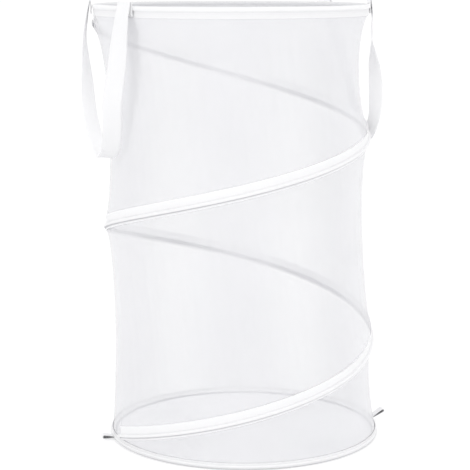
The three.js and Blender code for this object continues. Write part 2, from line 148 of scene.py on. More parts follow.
# Floor: shallow creases turn round its middle, and puckers run to its hem. Its mesh is finer
# over FLOOR_EDGE and leaves a pinhole in its middle. PUCKER_START is a share of its radius
FLOOR_RADIUS = HOOP_RADIUS - CHANNEL_OUTER - SEAT_GAP
FLOOR_THICK = 0.8
FLOOR_HEM = 2.8
FLOOR_PINHOLE = 0.5
FLOOR_EDGE = 12.0
FLOOR_EDGE_STEP = 2.0
FLOOR_LIP = 1.0
PUCKER_RISE = 0.55
PUCKER_START = 0.72
PUCKER_WAVES = (26, 41, 63)
CREASE_RISE = 0.5
CREASE_WAVES = (3, 5, 8)
CREASE_SWIRL = 90.0
CREASE_START = 60.0
CREASE_MARGIN = 6.0

# Handles
WEBBING_WIDE = 25.0
WEBBING_THICK = 1.4
TAB_TALL = 18.0
TAB_RISE = 4.7
HINGE_LIFT = 0.3
STRAP_GAP = 0.5
TAB_TOP = HEIGHT + TAB_RISE
TAB_FOOT = TAB_TOP - TAB_TALL
HINGE_HEIGHT = TAB_TOP + HINGE_LIFT
HANDLE_ANGLE = math.radians(20)
HANDLE_DROP = 203.0
HANDLE_BOW = 20.0
TAB_RADIUS = DIAMETER / 2 + SEAT_GAP + WEBBING_THICK / 2
TAB_ACROSS = TAB_RADIUS * math.cos(HANDLE_ANGLE)
HALF_CHORD = TAB_RADIUS * math.sin(HANDLE_ANGLE)
STRAP_ACROSS = TAB_ACROSS + WEBBING_THICK + STRAP_GAP
STRAP_RADIUS = math.hypot(STRAP_ACROSS, HALF_CHORD)
HANDLE_ENDS = [(-1, 1, "front"), (-1, -1, "rear"), (1, -1, "front"), (1, 1, "rear")]

# Each handle from its first end to its second: place along half the chord between its
# ends, outward bow, drop below the rim, and turn in degrees out of the wall's plane
LEFT_STRAP = [
    (1, 0.16, 0.07, -3), (0.98, 0.3, 0.22, -16), (0.94, 0.38, 0.38, -30),
    (0.86, 0.43, 0.52, -42), (0.77, 0.4, 0.65, -54), (0.62, 0.12, 0.82, -69),
    (0.42, -0.08, 0.95, -80), (0.15, -0.12, 1, -85), (-0.1, -0.1, 0.95, -80),
    (-0.44, 0.04, 0.83, -70), (-0.84, 0.16, 0.67, -56), (-0.97, 0.22, 0.52, -40),
    (-1, 0.29, 0.38, -24), (-1, 0.34, 0.22, -10), (-1, 0.16, 0.07, -3),
]
RIGHT_STRAP = [
    (-1, 0.16, 0.07, 4), (-1, 0.17, 0.13, 14), (-1, 0.17, 0.19, 18), (-0.99, 0.19, 0.26, 10),
    (-0.99, 0.26, 0.33, -6), (-0.98, 0.38, 0.42, -28), (-0.97, 0.51, 0.54, -41),
    (-0.95, 0.56, 0.67, -37), (-0.88, 0.49, 0.79, -24), (-0.7, 0.38, 0.88, -13),
    (-0.45, 0.34, 0.91, -8), (-0.18, 0.34, 0.87, -8), (0.06, 0.36, 0.77, -8),
    (0.26, 0.38, 0.65, -9), (0.45, 0.38, 0.51, -9), (0.64, 0.32, 0.34, -6),
    (0.82, 0.24, 0.18, -3), (0.95, 0.17, 0.07, 0),
]

# Curl of a strap's edges in the middle of its loop, and small waves along it
STRAP_CURL = 0.5
STRAP_WAVE = 0.25
STRAP_WAVE_TURNS = 31.0
STRAP_WAVE_WIDE = 9.0

# Closure ties. TIE_SWELL is the power of the curve that opens them from their mouth, and each
# tie has its length, place round the hoop and tilt
TIE_WIDE = 12.0
TIE_THICK = 0.8
TIE_TALL = 5.2
TIE_MOUTH = 0.6
TIE_SWELL = 1.3
TIE_SAG = 0.25
LEFT_TIE = (16.0, math.radians(170), math.radians(5))
RIGHT_TIE = (22.0, math.radians(-12.5), math.radians(30))

# Stitches, and the rows of them: places up from the wire, down from the rim and down from
# the base tape's lip
STITCH_PITCH = 3.2
STITCH_LENGTH = 2.3
THREAD_RADIUS = 0.24
ROW_LIFT = 0.12
TACK_OUT = 0.1
SPIRAL_ROWS = [("upper", 4.8), ("lower", -4.4)]
SPIRAL_ROW_START = SPIRAL_START + 10.0
RIM_ROW = 8.2
BASE_ROW = 1.4
TACK_WIDE = 19.0
TACK_TALL = 2.4
TACK_LIFT = 3.0
TACK_POINTS = 44
TACK_RADIUS = THREAD_RADIUS * 1.2
BOX_HALF = 9.0
BOX_LOW = TAB_FOOT + 6.0
BOX_HIGH = TAB_TOP - 6.2
BOX_PITCH = 3.0

# Steps of the fine meshes. SPIRAL_STEP is in degrees
TURN_STEPS = 288
NET_LEVELS = 260
SPIRAL_STEP = 1.5
WIRE_SIDES = 10
THREAD_SIDES = 6
FLOOR_STEPS = 26
FLOOR_EDGE_STEPS = 9
STRAP_STEPS = 200
CURVE_STEPS = 40
FOLD_STEPS = 13
BOX_STEPS = 12
TIE_STEPS = 10
TIE_BEND_STEPS = 17
TIE_WIDE_STEPS = 9

RIPPLE_PHASE = 2.4
SHARP_ANGLE = math.radians(50)


def leaning(points):
    """Points of the cloth tube, moved sideways in step with their height."""
    points = np.array(points, float)
    points[..., :2] += RIM_LEAN * points[..., 2:] / HEIGHT
    return points


def hanging(points):
    """Points of a piece that hangs upright from the rim, moved with the rim."""
    points = np.array(points, float)
    points[..., :2] += RIM_LEAN * HINGE_HEIGHT / HEIGHT
    return points


def around(angle, radius, height):
    """Points at an angle round the hamper, a radius and a height."""
    angle, radius, height = np.broadcast_arrays(angle, radius, height)
    return np.stack([radius * np.cos(angle), radius * np.sin(angle), height], -1)


def turn_angles():
    """Angles once round the hamper, in fine steps."""
    return np.linspace(0, TURN, TURN_STEPS, endpoint=False)


def ripple(angle, waves):
    """A smooth uneven wave round the hamper, from -1 to 1. waves are whole counts a turn."""
    phases = RIPPLE_PHASE * np.arange(1, len(waves) + 1)
    return sum(np.sin(n * angle + p) for n, p in zip(waves, phases)) / len(waves)


def run_of(points):
    """Distance along a row of points, from its first point to each of them."""
    steps = np.linalg.norm(np.diff(points, axis=0), axis=-1)
    return np.concatenate([[0], np.cumsum(steps)])


def between(places, run, values):
    """Rows of values at places along a run, from the rows at its points."""
    return np.stack([np.interp(places, run, value) for value in values.T], -1)


def grid(points, wraps, shade):
    """Faces of a grid of points that may close on itself in either direction, and each
    corner's cloth coordinates: metres along, metres across, and painted shade, which on the net is
    its cover."""
    rows, columns = points.shape[:2]
    middle = points.mean(axis=1)
    along = run_of(np.concatenate([middle, middle[:1]])) / METRE
    across = run_of(np.concatenate([points[0], points[0][:1]])) / METRE
    shade = np.broadcast_to(shade, (rows, columns))
    row, column = np.meshgrid(
        np.arange(rows - 1 + wraps[0]), np.arange(columns - 1 + wraps[1]), indexing="ij"
    )
    corners = [(row, column), (row + 1, column), (row + 1, column + 1), (row, column + 1)]
    faces = [(r % rows) * columns + c % columns for r, c in corners]
    cloth = [
        np.stack([along[r], across[c], shade[r % rows, c % columns]], -1) for r, c in corners
    ]
    return np.stack(faces, -1).reshape(-1, 4), np.stack(cloth, -2).reshape(-1, 4, 3)


def cap(ring, count, cloth):
    """Quads that close a ring whose two sides have matching points."""
    start = ring * count
    faces = [
        (start + k, start + k + 1, start + count - 2 - k, start + count - 1 - k)
        for k in range(count // 2 - 1)
    ]
    return np.array(faces), np.broadcast_to(cloth, (len(faces), 4, 3))


def swept(rings, looped=False, shade=0.0):
    """A solid from rings of points: joined in a loop, or capped at both ends."""
    faces, cloth = grid(rings, (looped, True), shade)
    if not looped:
        count = rings.shape[1]
        first, first_cloth = cap(0, count, cloth[0, 0])
        last, last_cloth = cap(len(rings) - 1, count, cloth[-1, 0])
        faces = np.concatenate([faces, first[:, ::-1], last])
        cloth = np.concatenate([cloth, first_cloth, last_cloth])
    return rings.reshape(-1, 3), faces, cloth


def outwards(points, faces, cloth):
    """The same solid with its faces turned outwards."""
    a, b, c, d = (points[faces[:, k]] for k in range(4))
    volume = np.einsum("ij,ij->i", a, np.cross(b, c)) + np.einsum("ij,ij->i", a, np.cross(c, d))
    if volume.sum() < 0:
        return points, faces[:, ::-1], cloth[:, ::-1]
    return points, faces, cloth


def make_piece(name, body, slot, solid, is_closed=True):
    """Makes one named piece of the hamper, which takes its looks from its material slot."""
    points, faces, cloth = outwards(*solid) if is_closed else solid
    mesh = bpy.data.meshes.new(name)
    mesh.from_pydata((points / METRE).tolist(), [], faces.tolist())
    mesh.shade_smooth()
    mesh.set_sharp_from_angle(angle=SHARP_ANGLE)
    corner = mesh.attributes.new("cloth", "FLOAT_VECTOR", "CORNER")
    corner.data.foreach_set("vector", np.ascontiguousarray(cloth, np.float32).ravel())
    mesh.materials.append(materials[slot])
    piece = bpy.data.objects.new(name, mesh)
    bpy.context.scene.collection.objects.link(piece)
    if body:
        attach(piece, body)
    return piece


def folds_with_tube(piece):
    """Gives a piece of the cloth tube a mesh of its own."""
    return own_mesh(piece)


# Materials

# Middle range of a noise node, which spread brings to a range of its own
NOISE_LOW = 0.3
NOISE_HIGH = 0.7

# Cloth: size of its lighter and darker patches, how much its weave darkens it, and its fibres
PATCH_SCALE = 14.0
WEAVE_DARK = 0.012
CLOTH_ROUGHNESS = 0.75
CLOTH_SHEEN = 0.15
FIBRE_SCALE = 260.0
FIBRE_RELIEF = 0.6

# Net: its two colours, pitch and slant of its threads, where a thread starts and is full in
# the pattern of holes, and how much threads and cells cover
NET_BASE = (0.758, 0.758, 0.781)
NET_DARK = (0.5, 0.5, 0.53)
NET_PITCH = 1.15
NET_LEAN = 0.58
NET_THREAD = 0.62
NET_CELL = 0.15
NET_THREAD_COVER = 0.24
NET_CELL_COVER = 0.4
NET_PATCH_SCALE = 5.0
NET_PATCH_COVER = (0.93, 1.07)

# Depth of the grain of metal and plastic
GRAIN_DEPTH = 0.1


class Graph:
    """A material's nodes, added one by one."""

    def __init__(self, name):
        self.material = bpy.data.materials.new(name)
        self.material.use_nodes = True
        self.tree = self.material.node_tree
        self.shader = self.tree.nodes["Principled BSDF"]

    def add(self, kind, inputs=(), output=0, **settings):
        """Adds a node and returns one of its outputs. Inputs are numbers or outputs."""
        made = self.tree.nodes.new("ShaderNode" + kind)
        for key, value in settings.items():
            setattr(made, key, value)
        for key, value in dict(inputs).items():
            self.put(made.inputs[key], value)
        return made.outputs[output]

    def put(self, socket, value):
        """Sets or links one socket."""
        if isinstance(value, bpy.types.NodeSocket):
            self.tree.links.new(value, socket)
        else:
            socket.default_value = value

    def math(self, operation, a, b=0.0, c=0.0):
        """One sum on one, two or three values."""
        return self.add("Math", {0: a, 1: b, 2: c}, operation=operation)

    def noise(self, scale, detail=2.0):
        """Soft noise over the piece."""
        place = self.add("TexCoord", output="Object")
        return self.add("TexNoise", {"Vector": place, "Scale": scale, "Detail": detail})

    def spread(self, noise, low, high):
        """Noise brought to the range from low to high."""
        return self.add(
            "MapRange", {0: noise, 1: NOISE_LOW, 2: NOISE_HIGH, 3: low, 4: high}
        )

    def mixed(self, share, first, second, **settings):
        """A mix of two colours, which the node takes as its inputs 6 and 7."""
        return self.add(
            "Mix", {0: share, 6: first, 7: second}, output=2, data_type="RGBA", **settings
        )

    def grey(self, level):
        """A grey of one level."""
        return self.add("CombineColor", {0: level, 1: level, 2: level})

    def bump(self, height, strength, depth):
        """Relief of a depth in millimetres."""
        return self.add(
            "Bump", {"Strength": strength, "Distance": depth / METRE, "Height": height}
        )

    def shaded(self, **sockets):
        """Sets the shader's sockets, with underscores for spaces."""
        for key, value in sockets.items():
            self.put(self.shader.inputs[key.replace("_", " ")], value)
        return self.material


def cloth_axes(graph):
    """Metres along the cloth, metres across it, and its painted shade."""
    cloth = graph.add("Attribute", attribute_name="cloth", output="Vector")
    split = graph.add("SeparateXYZ", {0: cloth}).node
    return split.outputs[0], split.outputs[1], split.outputs[2]


def wave(graph, place, pitch):
    """A wave from -1 to 1 along a place in metres, with a pitch in millimetres."""
    return graph.math("SINE", graph.math("MULTIPLY", place, TURN * METRE / pitch))


def tinted(graph, base, dark, weave, shade, grain):
    """The cloth's colour: base, darker between its threads and in patches, and darkened by painted
    shade.
    """
    patch = graph.spread(graph.noise(PATCH_SCALE, 3.0), 1.0 - grain, 1.0 + grain / 3)
    thread = graph.math("MULTIPLY_ADD", weave, WEAVE_DARK, 1.0 - WEAVE_DARK)
    level = graph.math("MULTIPLY", patch, thread)
    # Painted shade: the cloth's shade coordinate mixes its base colour towards dark
    unshaded_share = graph.math("MULTIPLY_ADD", shade, -1.0, 1.0)
    ground = graph.mixed(unshaded_share, (*dark, 1), (*base, 1))
    return graph.mixed(1.0, ground, graph.grey(level), blend_type="MULTIPLY")


def woven(name, base, dark, pitches, height, grain=0.012):
    """Plain woven cloth, tape, webbing, ribbon or thread. dark is the colour of its painted shade.
    """
    graph = Graph(name)
    along, across, shade = cloth_axes(graph)
    weave = graph.math("MULTIPLY", wave(graph, along, pitches[0]), wave(graph, across, pitches[1]))
    relief = graph.math("MULTIPLY_ADD", graph.noise(FIBRE_SCALE), FIBRE_RELIEF, weave)
    return graph.shaded(
        Base_Color=tinted(graph, base, dark, weave, shade, grain),
        Roughness=CLOTH_ROUGHNESS,
        Sheen_Weight=CLOTH_SHEEN,
        Sheen_Roughness=0.5,
        Normal=graph.bump(relief, 0.6, height),
    )


def knitted(name):
    """Fine knitted net: crossed threads with open cells between them. Its cloth shade says how
    much it covers."""
    graph = Graph(name)
    along, across, cover_share = cloth_axes(graph)
    rise = graph.math("MULTIPLY", across, NET_LEAN)
    threads = [
        graph.math("ABSOLUTE", wave(graph, graph.math(way, along, rise), 2 * NET_PITCH))
        for way in ("ADD", "SUBTRACT")
    ]
    hole = graph.math("MULTIPLY", *threads)
    thread = graph.add("MapRange", {0: hole, 1: NET_THREAD, 2: NET_CELL, 3: 0.0, 4: 1.0})
    density = graph.spread(graph.noise(NET_PATCH_SCALE), *NET_PATCH_COVER)
    cover = graph.math("MULTIPLY_ADD", thread, NET_THREAD_COVER, NET_CELL_COVER)
    cover = graph.math("MULTIPLY", graph.math("MULTIPLY", cover, density), cover_share)
    return graph.shaded(
        Base_Color=tinted(graph, NET_BASE, NET_DARK, thread, shade=0.0, grain=0.02),
        Alpha=graph.math("MINIMUM", cover, 1.0),
        Roughness=0.9,
        Sheen_Weight=0.2,
        Sheen_Roughness=0.6,
        Normal=graph.bump(thread, 0.4, 0.2),
    )


def grained(name, scale, dark, light, roughness, strength, metallic):
    """Bare metal or plastic with a fine grain."""
    graph = Graph(name)
    grain = graph.noise(scale)
    return graph.shaded(
        Base_Color=graph.mixed(grain, (*dark, 1), (*light, 1)),
        Metallic=metallic,
        Roughness=graph.spread(grain, *roughness),
        Normal=graph.bump(grain, strength, GRAIN_DEPTH),
    )


# The second colour of each woven material is the colour that its painted shade mixes towards
materials = {
    "net": knitted("net"),
    "floor_cloth": woven(
        "floor_cloth", (0.965, 0.965, 0.98), (0.55, 0.55, 0.58), (0.8, 0.8), 0.1, grain=0.03
    ),
    "tape": woven("tape", (0.93, 0.93, 0.938), (0.30, 0.30, 0.33), (0.9, 0.7), 0.12),
    "webbing": woven("webbing", (0.98, 0.98, 0.985), (0.6, 0.6, 0.62), (2.0, 1.4), 0.2),
    "ribbon": woven("ribbon", (0.92, 0.92, 0.93), (0.12, 0.12, 0.13), (0.8, 0.6), 0.1),
    "thread": woven("thread", (0.90, 0.90, 0.91), (0.5, 0.5, 0.5), (0.5, 0.4), 0.05),
    "spring_steel": grained(
        "spring_steel", 900.0, (0.84, 0.84, 0.85), (0.93, 0.93, 0.94), (0.28, 0.42), 0.2, 1.0
    ),
    "tip_plastic": grained(
        "tip_plastic", 700.0, (0.78, 0.78, 0.78), (0.86, 0.86, 0.86), (0.35, 0.5), 0.15, 0.0
    ),
}


# Net wall


def strand_height(turned_degrees):
    """Height of the spiral after it has turned so many degrees from -X."""
    turned_degrees = np.asarray(turned_degrees, float)
    height = SPIRAL_TOP - SPIRAL_PITCH * turned_degrees / 360
    for start, end, skew, rise in SPIRAL_STRAYS:
        share = np.clip((turned_degrees - start) / (end - start), 0, 1)
        height = height + rise * np.sin(math.pi * share**skew)
    return height


def strand_radius(height):
    """Radius of the net's middle under the spiral: as wide as the hoops where it nears them."""
    away = np.minimum(TOP_LIP - height, height - BOTTOM_LIP) - UPPER_FLANGE - BAND_MARGIN
    share = np.clip(away / HOOP_REACH, 0, 1)
    return HOOP_RADIUS - SPIRAL_WAIST * share * share * (3 - 2 * share)


def held_bands(turned):
    """Low, high and radius of each level that holds the net out, at one place round it."""
    bands = [(NET_BOTTOM, FREE_BOTTOM, HOOP_RADIUS)]
    for lap in SPIRAL_LAPS:
        degrees = turned + 360 * lap
        if SPIRAL_START <= degrees <= SPIRAL_END:
            height = strand_height(degrees)
            low = max(height - LOWER_FLANGE - BAND_MARGIN, FREE_BOTTOM)
            high = min(height + UPPER_FLANGE + BAND_MARGIN, FREE_TOP)
            bands.append((low, high, float(strand_radius(height))))
    return bands + [(FREE_TOP, NET_TOP, HOOP_RADIUS)]


def net_radii(bands, heights):
    """Radius of the net at each height, and how free it hangs there, from 0 to 1."""
    radii = np.full(len(heights), HOOP_RADIUS)
    freedom = np.zeros(len(heights))
    for low, high, radius in bands:
        radii[(heights >= low) & (heights <= high)] = radius
    for below, above in zip(bands, bands[1:]):
        span = above[0] - below[1]
        if span <= 0:
            continue
        inside = (heights > below[1]) & (heights < above[0])
        share = (heights[inside] - below[1]) / span
        swell = 4 * share * (1 - share)
        fullness = min(1, span / FULL_SAG_SPAN)
        deep = LOW_SAG + (HIGH_SAG - LOW_SAG) * heights[inside] / HEIGHT
        bow = deep * fullness * swell**SAG_POWER
        radii[inside] = below[2] + (above[2] - below[2]) * share - bow
        freedom[inside] = swell * fullness
    return radii, freedom


def net_cover(bands, turned, angle, heights):
    """How much the net covers at each height, at one place round it."""
    held = np.zeros(len(heights))
    for low, high, _ in bands:
        depth = np.minimum(heights - low, high - heights) - BAND_MARGIN
        held = np.maximum(held, np.clip(depth / HELD_RAMP + 0.5, 0, 1))
    for lap in SPIRAL_LAPS:
        over = (heights - strand_height(turned + 360 * lap)) / WIRE_SPREAD
        held -= WIRE_COVER * np.exp(-over * over) * (held > FULLY_HELD)
    # Painted light and shade: upright streaks of more and less cover round the wall, and more cover
    # near the rim as a painted shade under it
    shade_streak = 1 - SHADE_STREAK_DEPTH * math.cos(SHADE_STREAK_COUNT * (angle - SHADE_STREAK_ANGLE))
    free = shade_streak + RIM_SHADE_COVER * (heights / HEIGHT) ** RIM_SHADE_POWER
    return free + (HELD_COVER - free) * held


def net_wall():
    """The net, drawn in between the wires, with soft upright folds where it hangs free."""
    levels = [np.linspace(NET_BOTTOM, NET_TOP, NET_LEVELS), [FREE_BOTTOM, FREE_TOP]]
    heights = np.unique(np.concatenate(levels))
    points = np.zeros((TURN_STEPS, len(heights), 3))
    cover = np.zeros((TURN_STEPS, len(heights)))
    for column, angle in enumerate(turn_angles()):
        turned = (180 - math.degrees(angle)) % 360
        bands = held_bands(turned)
        radii, freedom = net_radii(bands, heights)
        lean = angle + NET_FOLD_LEAN * heights
        folds = sum(deep * ripple(lean, waves) for deep, waves in NET_FOLDS) - NET_FOLD_INSET
        points[column] = around(angle, radii + folds * freedom, heights)
        cover[column] = net_cover(bands, turned, angle, heights)
    faces, cloth = grid(points, (True, False), cover)
    round_hoop = TURN * HOOP_RADIUS / METRE
    cloth[..., 0] *= round_hoop / cloth[..., 0].max()
    solid = leaning(points).reshape(-1, 3), faces, cloth
    wall = make_piece("net_wall", "base", "net", solid, is_closed=False)
    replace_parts(wall, "mesh_wall")
    return folds_with_tube(wall)


# Spiral

# Painted shade of the spiral tape's outer face, from its top edge to its low edge: a painted
# shadow in the crease under the wire, and a little grey elsewhere, which keeps the outer face,
# which gets more light, a little darker than the inner face
SPIRAL_UPPER_SHADE = [0.1, 0.13, 0.14, 0.14, 0.14, 0.14, 0.15, 0.18]
SPIRAL_BEND_SHADE = [0.19] + [0.13] * 8 + [0.19, 0.32, 0.5, 0.64]
SPIRAL_LOWER_SHADE = [0.68, 0.28, 0.1, 0.1, 0.1, 0.1]


def spiral_degrees():
    """Degrees turned from -X, in fine steps along the spiral."""
    return np.arange(SPIRAL_START, SPIRAL_END + SPIRAL_STEP / 2, SPIRAL_STEP)


def spiral_points(turned, out, lift):
    """Points beside the spiral: out from the net's middle and up from the wire's middle."""
    height = strand_height(turned)
    return around(np.radians(180 - turned), strand_radius(height) + out, height + lift)


def spiral_section(top, low):
    """Outer and inner sides of the tape over the wire, from its top edge to its low edge:
    places out from the net and up from the wire."""
    up = np.linspace(1, 0, len(SPIRAL_UPPER_SHADE))
    bend = np.linspace(ARCH_BEND, -ARCH_BEND, len(SPIRAL_BEND_SHADE))
    down = np.linspace(0, 1, len(SPIRAL_LOWER_SHADE))

    def side(ply, arch):
        foot = arch + ARCH_FOOT
        upper = [(ply, foot + (top - foot) * s) for s in up]
        middle = [(WIRE_SEAT + arch * math.cos(a), arch * math.sin(a)) for a in bend]
        lower = [(ply, -foot - (low - foot) * s) for s in down]
        return upper + middle + lower

    return np.array(side(PLY_OUTER, ARCH_OUTER) + side(PLY_INNER, ARCH_INNER)[::-1])


def spiral_tape():
    """The tape that holds the spiral wire to the net, with slightly lifted edges."""
    rings = []
    for turned in spiral_degrees():
        height = strand_height(turned)
        top = min(UPPER_FLANGE, FREE_TOP - height)
        low = min(LOWER_FLANGE, height - FREE_BOTTOM)
        section = spiral_section(top, low)
        edge = np.clip((np.abs(section[:, 1]) - ARCH_OUTER) / UPPER_FLANGE, 0, 1)
        section[:, 0] += FLANGE_LIFT * edge * (1 + ripple(math.radians(turned), FLANGE_WAVES))
        rings.append(spiral_points(turned, section[:, 0], section[:, 1]))
    outer = SPIRAL_UPPER_SHADE + SPIRAL_BEND_SHADE + SPIRAL_LOWER_SHADE
    shade = np.array(outer + [0.0] * len(outer))
    piece = make_piece("spiral_tape", "base", "tape", swept(leaning(rings), shade=shade))
    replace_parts(piece, "spiral_binding")
    return folds_with_tube(piece)


def spiral_wire():
    """The spiral spring wire inside its tape."""
    bend = np.linspace(0, TURN, WIRE_SIDES, endpoint=False)
    out = WIRE_SEAT + WIRE_RADIUS * np.cos(bend)
    lift = WIRE_RADIUS * np.sin(bend)
    rings = [spiral_points(turned, out, lift) for turned in spiral_degrees()]
    piece = make_piece("spiral_spring", "base", "spring_steel", swept(leaning(rings)))
    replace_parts(piece, "spiral_wire")
    return folds_with_tube(piece)


# Stitching

# Places along a stitch, its radius there and the four sides of its section. STITCH_AHEAD is
# how far ahead its direction is taken
STITCH_PLACES = np.array([-0.5, -0.25, 0.25, 0.5]) * STITCH_LENGTH
STITCH_RADII = np.array([0.45, 1, 1, 0.45]) * THREAD_RADIUS
STITCH_SIDES = ((1, 0), (0, 1), (-1, 0), (0, -1))
STITCH_AHEAD = 0.1


def stitches(name, body, path, normals, pitch=STITCH_PITCH):
    """A row of thread dashes along a path, lying on a surface with these normals."""
    run = run_of(path)
    count = int(run[-1] / pitch)
    middles = (np.arange(count) + 0.5) * run[-1] / count
    centre = between(middles, run, path)
    normal = between(middles, run, normals)
    along = between(middles + STITCH_AHEAD, run, path) - centre
    along /= np.linalg.norm(along, axis=1, keepdims=True)
    normal /= np.linalg.norm(normal, axis=1, keepdims=True)
    side = np.cross(normal, along)
    points, faces, cloth = [], [], []
    for k in range(count):
        rings = [
            [centre[k] + along[k] * place + side[k] * (radius * a) + normal[k] * (radius * b)
             for a, b in STITCH_SIDES]
            for place, radius in zip(STITCH_PLACES, STITCH_RADII)
        ]
        solid = outwards(*swept(np.array(rings)))
        faces.append(solid[1] + len(points) * len(solid[0]))
        points.append(solid[0])
        cloth.append(solid[2])
    solid = np.concatenate(points), np.concatenate(faces), np.concatenate(cloth)
    return make_piece(name, body, "thread", solid)


def spiral_stitches():
    """A row of stitches on each side of the spiral wire."""
    turned = spiral_degrees()
    turned = turned[turned > SPIRAL_ROW_START]
    for name, lift in SPIRAL_ROWS:
        path = leaning(spiral_points(turned, PLY_OUTER + ROW_LIFT, lift))
        normals = around(np.radians(180 - turned), 1.0, 0.0)
        folds_with_tube(stitches(f"spiral_{name}_stitches", "base", path, normals))


# Hoop bindings

# Painted shade of a binding: a little grey up its outer flange, a darker painted shade line over
# its stitches, and round its crown. The rim's inside is painted in shade, and the base's crown is
# painted darker towards the floor as a contact shadow
FLANGE_SHADE = [0.13, 0.17, 0.17, 0.17, 0.17, 0.19, 0.22, 0.24]
SHOULDER_SHADE = [0.2, 0.13, 0.11]
RIM_CROWN_SHADE = [0.1, 0.1, 0.1, 0.1, 0.1]
RIM_INSIDE_SHADE = 0.28
BASE_CROWN_SHADE = [0.23, 0.28, 0.37, 0.55, 0.68, 0.68, 0.5, 0.37]
BASE_INSIDE_SHADE = 0.0
CROWN_POINTS = 19
SIDE_POINTS = 2 * len(FLANGE_SHADE) + CROWN_POINTS


def binding_section(facing, hoop, lip):
    """Outer and inner sides of a tape folded round a hoop, from its outside lip over the hoop
    to its inside lip: places out from the hoop and up."""
    depth = abs(lip - hoop)
    run = np.linspace(1, 0, len(FLANGE_SHADE), endpoint=False)

    def side(ply, radius):
        opening = math.asin(ply / radius)
        foot = radius * math.cos(opening)
        arc = np.linspace(opening - math.pi / 2, 1.5 * math.pi - opening, CROWN_POINTS)
        flange = [foot + (depth - foot) * s for s in run]
        outer = [(ply, -d) for d in flange]
        crown = [(radius * math.cos(a), radius * math.sin(a)) for a in arc]
        return outer + crown + [(-ply, -d) for d in flange[::-1]]

    section = np.array(side(PLY_OUTER, CHANNEL_OUTER) + side(PLY_INNER, CHANNEL_INNER)[::-1])
    return section * (1, facing)


def binding_shade(crown, inside):
    """Painted shade round a binding's section, its outer side first."""
    outer = FLANGE_SHADE + SHOULDER_SHADE + crown
    return np.array(outer + [inside] * (2 * SIDE_POINTS - len(outer)))


def hoop_binding(name, node, body, hoop, lip, shade):
    """Tape folded round a hoop, with slightly uneven lips."""
    facing = 1 if lip < hoop else -1
    section = binding_section(facing, hoop, lip)
    flange = np.clip(np.abs(section[:, 1]) - CHANNEL_OUTER, 0, None) / LIP_REACH
    away = np.sign(section[:, 0]) * flange * LIP_WAVE
    rings = []
    for angle in turn_angles():
        out = section[:, 0] + away * ripple(angle, LIP_WAVES)
        rings.append(around(angle, HOOP_RADIUS + out, hoop + section[:, 1]))
    solid = swept(leaning(rings), looped=True, shade=shade)
    piece = make_piece(name, body, "tape", solid)
    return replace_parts(piece, node)


def hoop_stitches(name, body, height, out):
    """A row of stitches round a binding."""
    angles = np.linspace(0, TURN, TURN_STEPS + 1)
    path = leaning(around(angles, HOOP_RADIUS + out, height))
    return stitches(name, body, path, np.sign(out) * around(angles, 1.0, 0.0))


# Floor

# Painted shade of the floor's top edge and of the face of its hem: a thin painted shadow line
# where the floor meets the base tape
HEM_SHADE = (0.15, 0.4, 0.9, 0.9)


def floor_top(angle, spans):
    """Height of the floor's upper face at places out from its middle."""
    ramp = (spans - FLOOR_RADIUS * PUCKER_START) / (FLOOR_RADIUS * (1 - PUCKER_START))
    edge = np.clip(ramp, 0, 1) * (spans < FLOOR_RADIUS - FLOOR_LIP)
    pucker = PUCKER_RISE * edge * (1 + ripple(angle, PUCKER_WAVES))
    swirl = 1 + ripple(angle + spans / CREASE_SWIRL, CREASE_WAVES)
    crease = CREASE_RISE * swirl * np.clip(spans / CREASE_START, 0, 1)
    return FLOOR_THICK + pucker + crease * (spans < FLOOR_RADIUS - CREASE_MARGIN)


def floor_cloth():
    """The floor: a woven disc with a low turned-up hem and shallow puckers round its edge."""
    edge = FLOOR_RADIUS - FLOOR_EDGE
    inner = np.linspace(FLOOR_PINHOLE, edge, FLOOR_STEPS)
    outer = np.linspace(edge + FLOOR_EDGE_STEP, FLOOR_RADIUS - FLOOR_THICK, FLOOR_EDGE_STEPS)
    spans = np.concatenate([inner, outer])
    hem_spans = [FLOOR_RADIUS - FLOOR_THICK, FLOOR_RADIUS, FLOOR_RADIUS]
    rings = []
    for angle in turn_angles():
        upper = around(angle, spans, floor_top(angle, spans))
        rim = around(angle, hem_spans, [FLOOR_HEM, FLOOR_HEM, 0])
        lower = around(angle, spans[::-1], 0.0)
        rings.append(np.concatenate([upper, rim, lower]))
    shade = np.zeros(len(rings[0]))
    shade[len(spans) - 2:len(spans) + 2] = HEM_SHADE
    solid = swept(leaning(rings), looped=True, shade=shade)
    piece = make_piece("floor_cloth", "base", "floor_cloth", solid)
    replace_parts(piece, "floor_panel")
    return piece


# Handles

# Half of a strap's section, as shares of its width and thickness: rounded at the edges
WEBBING_ACROSS = [-0.5, -0.485, -0.44, -0.3, -0.1, 0.1, 0.3, 0.44, 0.485, 0.5]
WEBBING_THROUGH = [0.2, 0.42, 0.5, 0.5, 0.5, 0.5, 0.5, 0.5, 0.42, 0.2]

# Painted shade round a strap: its edges are painted darker, and its outer face, which gets more
# light, is painted darker than its inner face
OUTER_FACE_SHADE = [0.5, 0.44, 0.38, 0.38, 0.38, 0.38, 0.38, 0.38, 0.44, 0.5]
INNER_FACE_SHADE = [0.12, 0.06, 0.0, 0.0, 0.0, 0.0, 0.0, 0.0, 0.06, 0.12]
WEBBING_SHADE = np.array(OUTER_FACE_SHADE + INNER_FACE_SHADE)

# Heights up a sewn end, closer together at its cut foot
TAB_LEVELS = np.concatenate([[0.0, 0.4], np.linspace(1.2, TAB_TALL, 12)])


